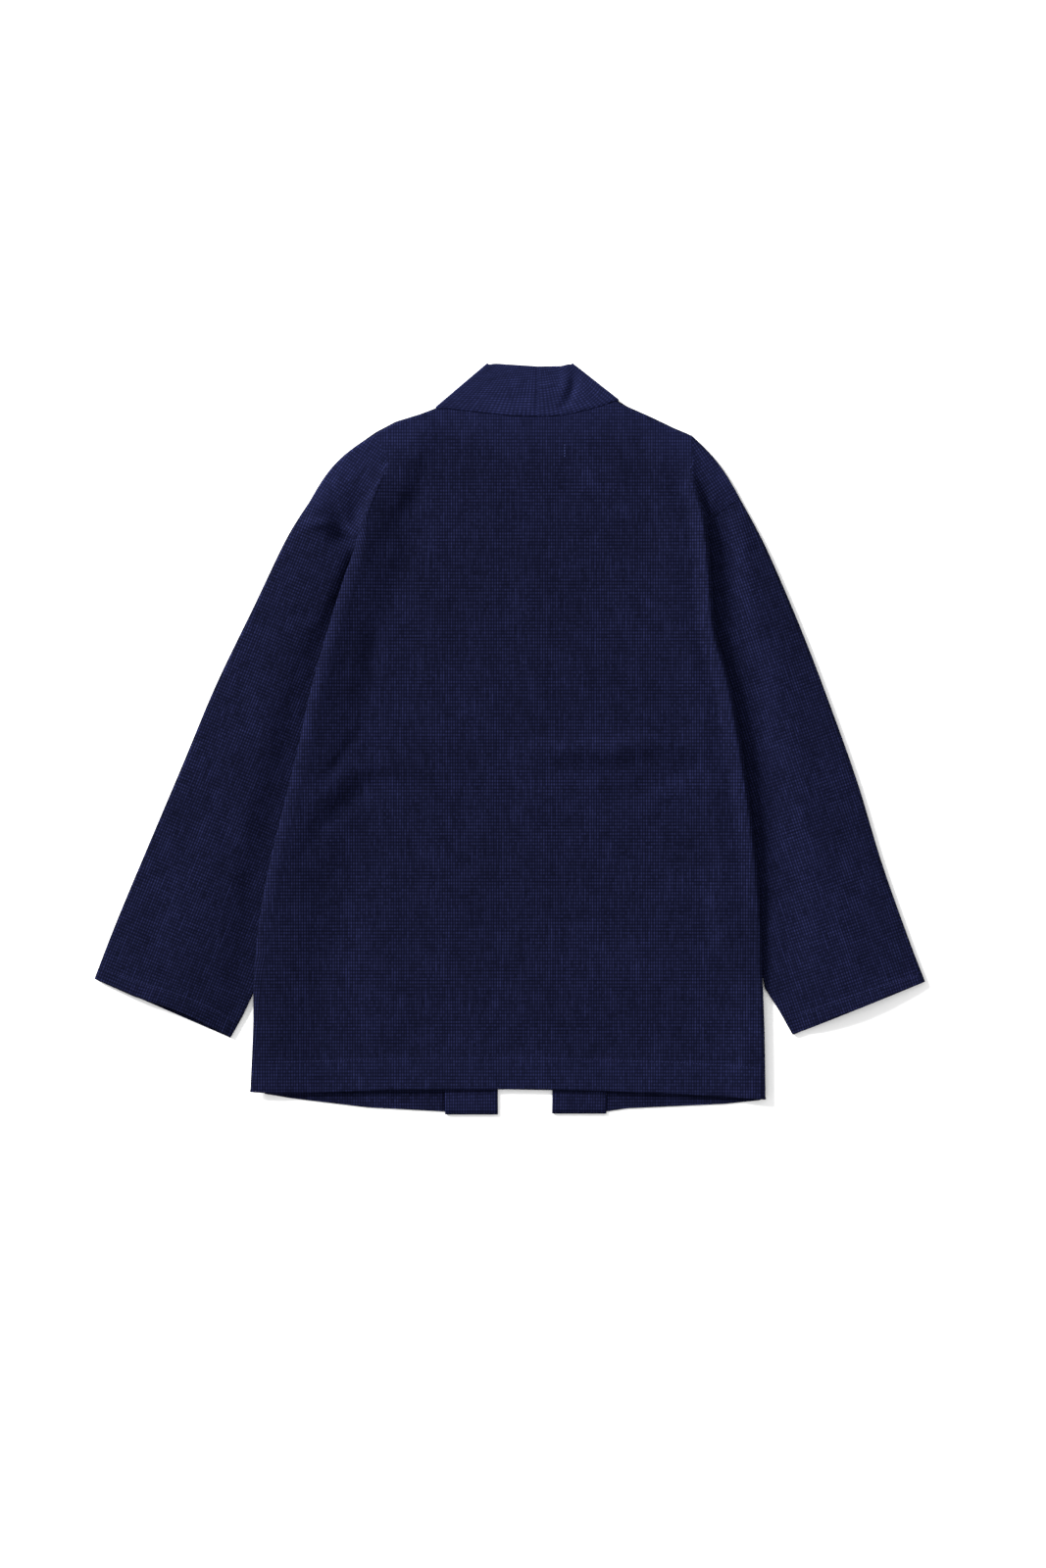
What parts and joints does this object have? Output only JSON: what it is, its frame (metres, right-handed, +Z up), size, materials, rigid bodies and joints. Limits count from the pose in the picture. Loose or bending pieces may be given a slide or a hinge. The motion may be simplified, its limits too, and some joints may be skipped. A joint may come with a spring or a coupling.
{
  "type": "happi coat laid flat with its back upward",
  "caption": "Indigo cotton happi coat laid flat, back upward, with long sleeves pulled down, a doubled neck band and side slits.",
  "frame": {"origin": "on the surface that the coat lies on, under the middle of its outline seen from above", "axes": "+X to the wearer's right sleeve end, that is to the right of the back as seen; +Y to the collar; +Z up, out of the coat's back"},
  "size_m": [0.9062, 0.8198, 0.0147],
  "materials": {
    "indigo_cotton": "dull woven cotton with a small dotted check",
    "band_cotton": "the same cotton, turned a quarter round and a little lighter"
  },
  "bodies": {
    "root": {"back": "indigo_cotton", "front_left": "indigo_cotton", "front_right": "indigo_cotton", "sleeve_left": "indigo_cotton", "sleeve_right": "indigo_cotton", "band_left": "band_cotton", "band_right": "band_cotton"}
  },
  "joints": []
}
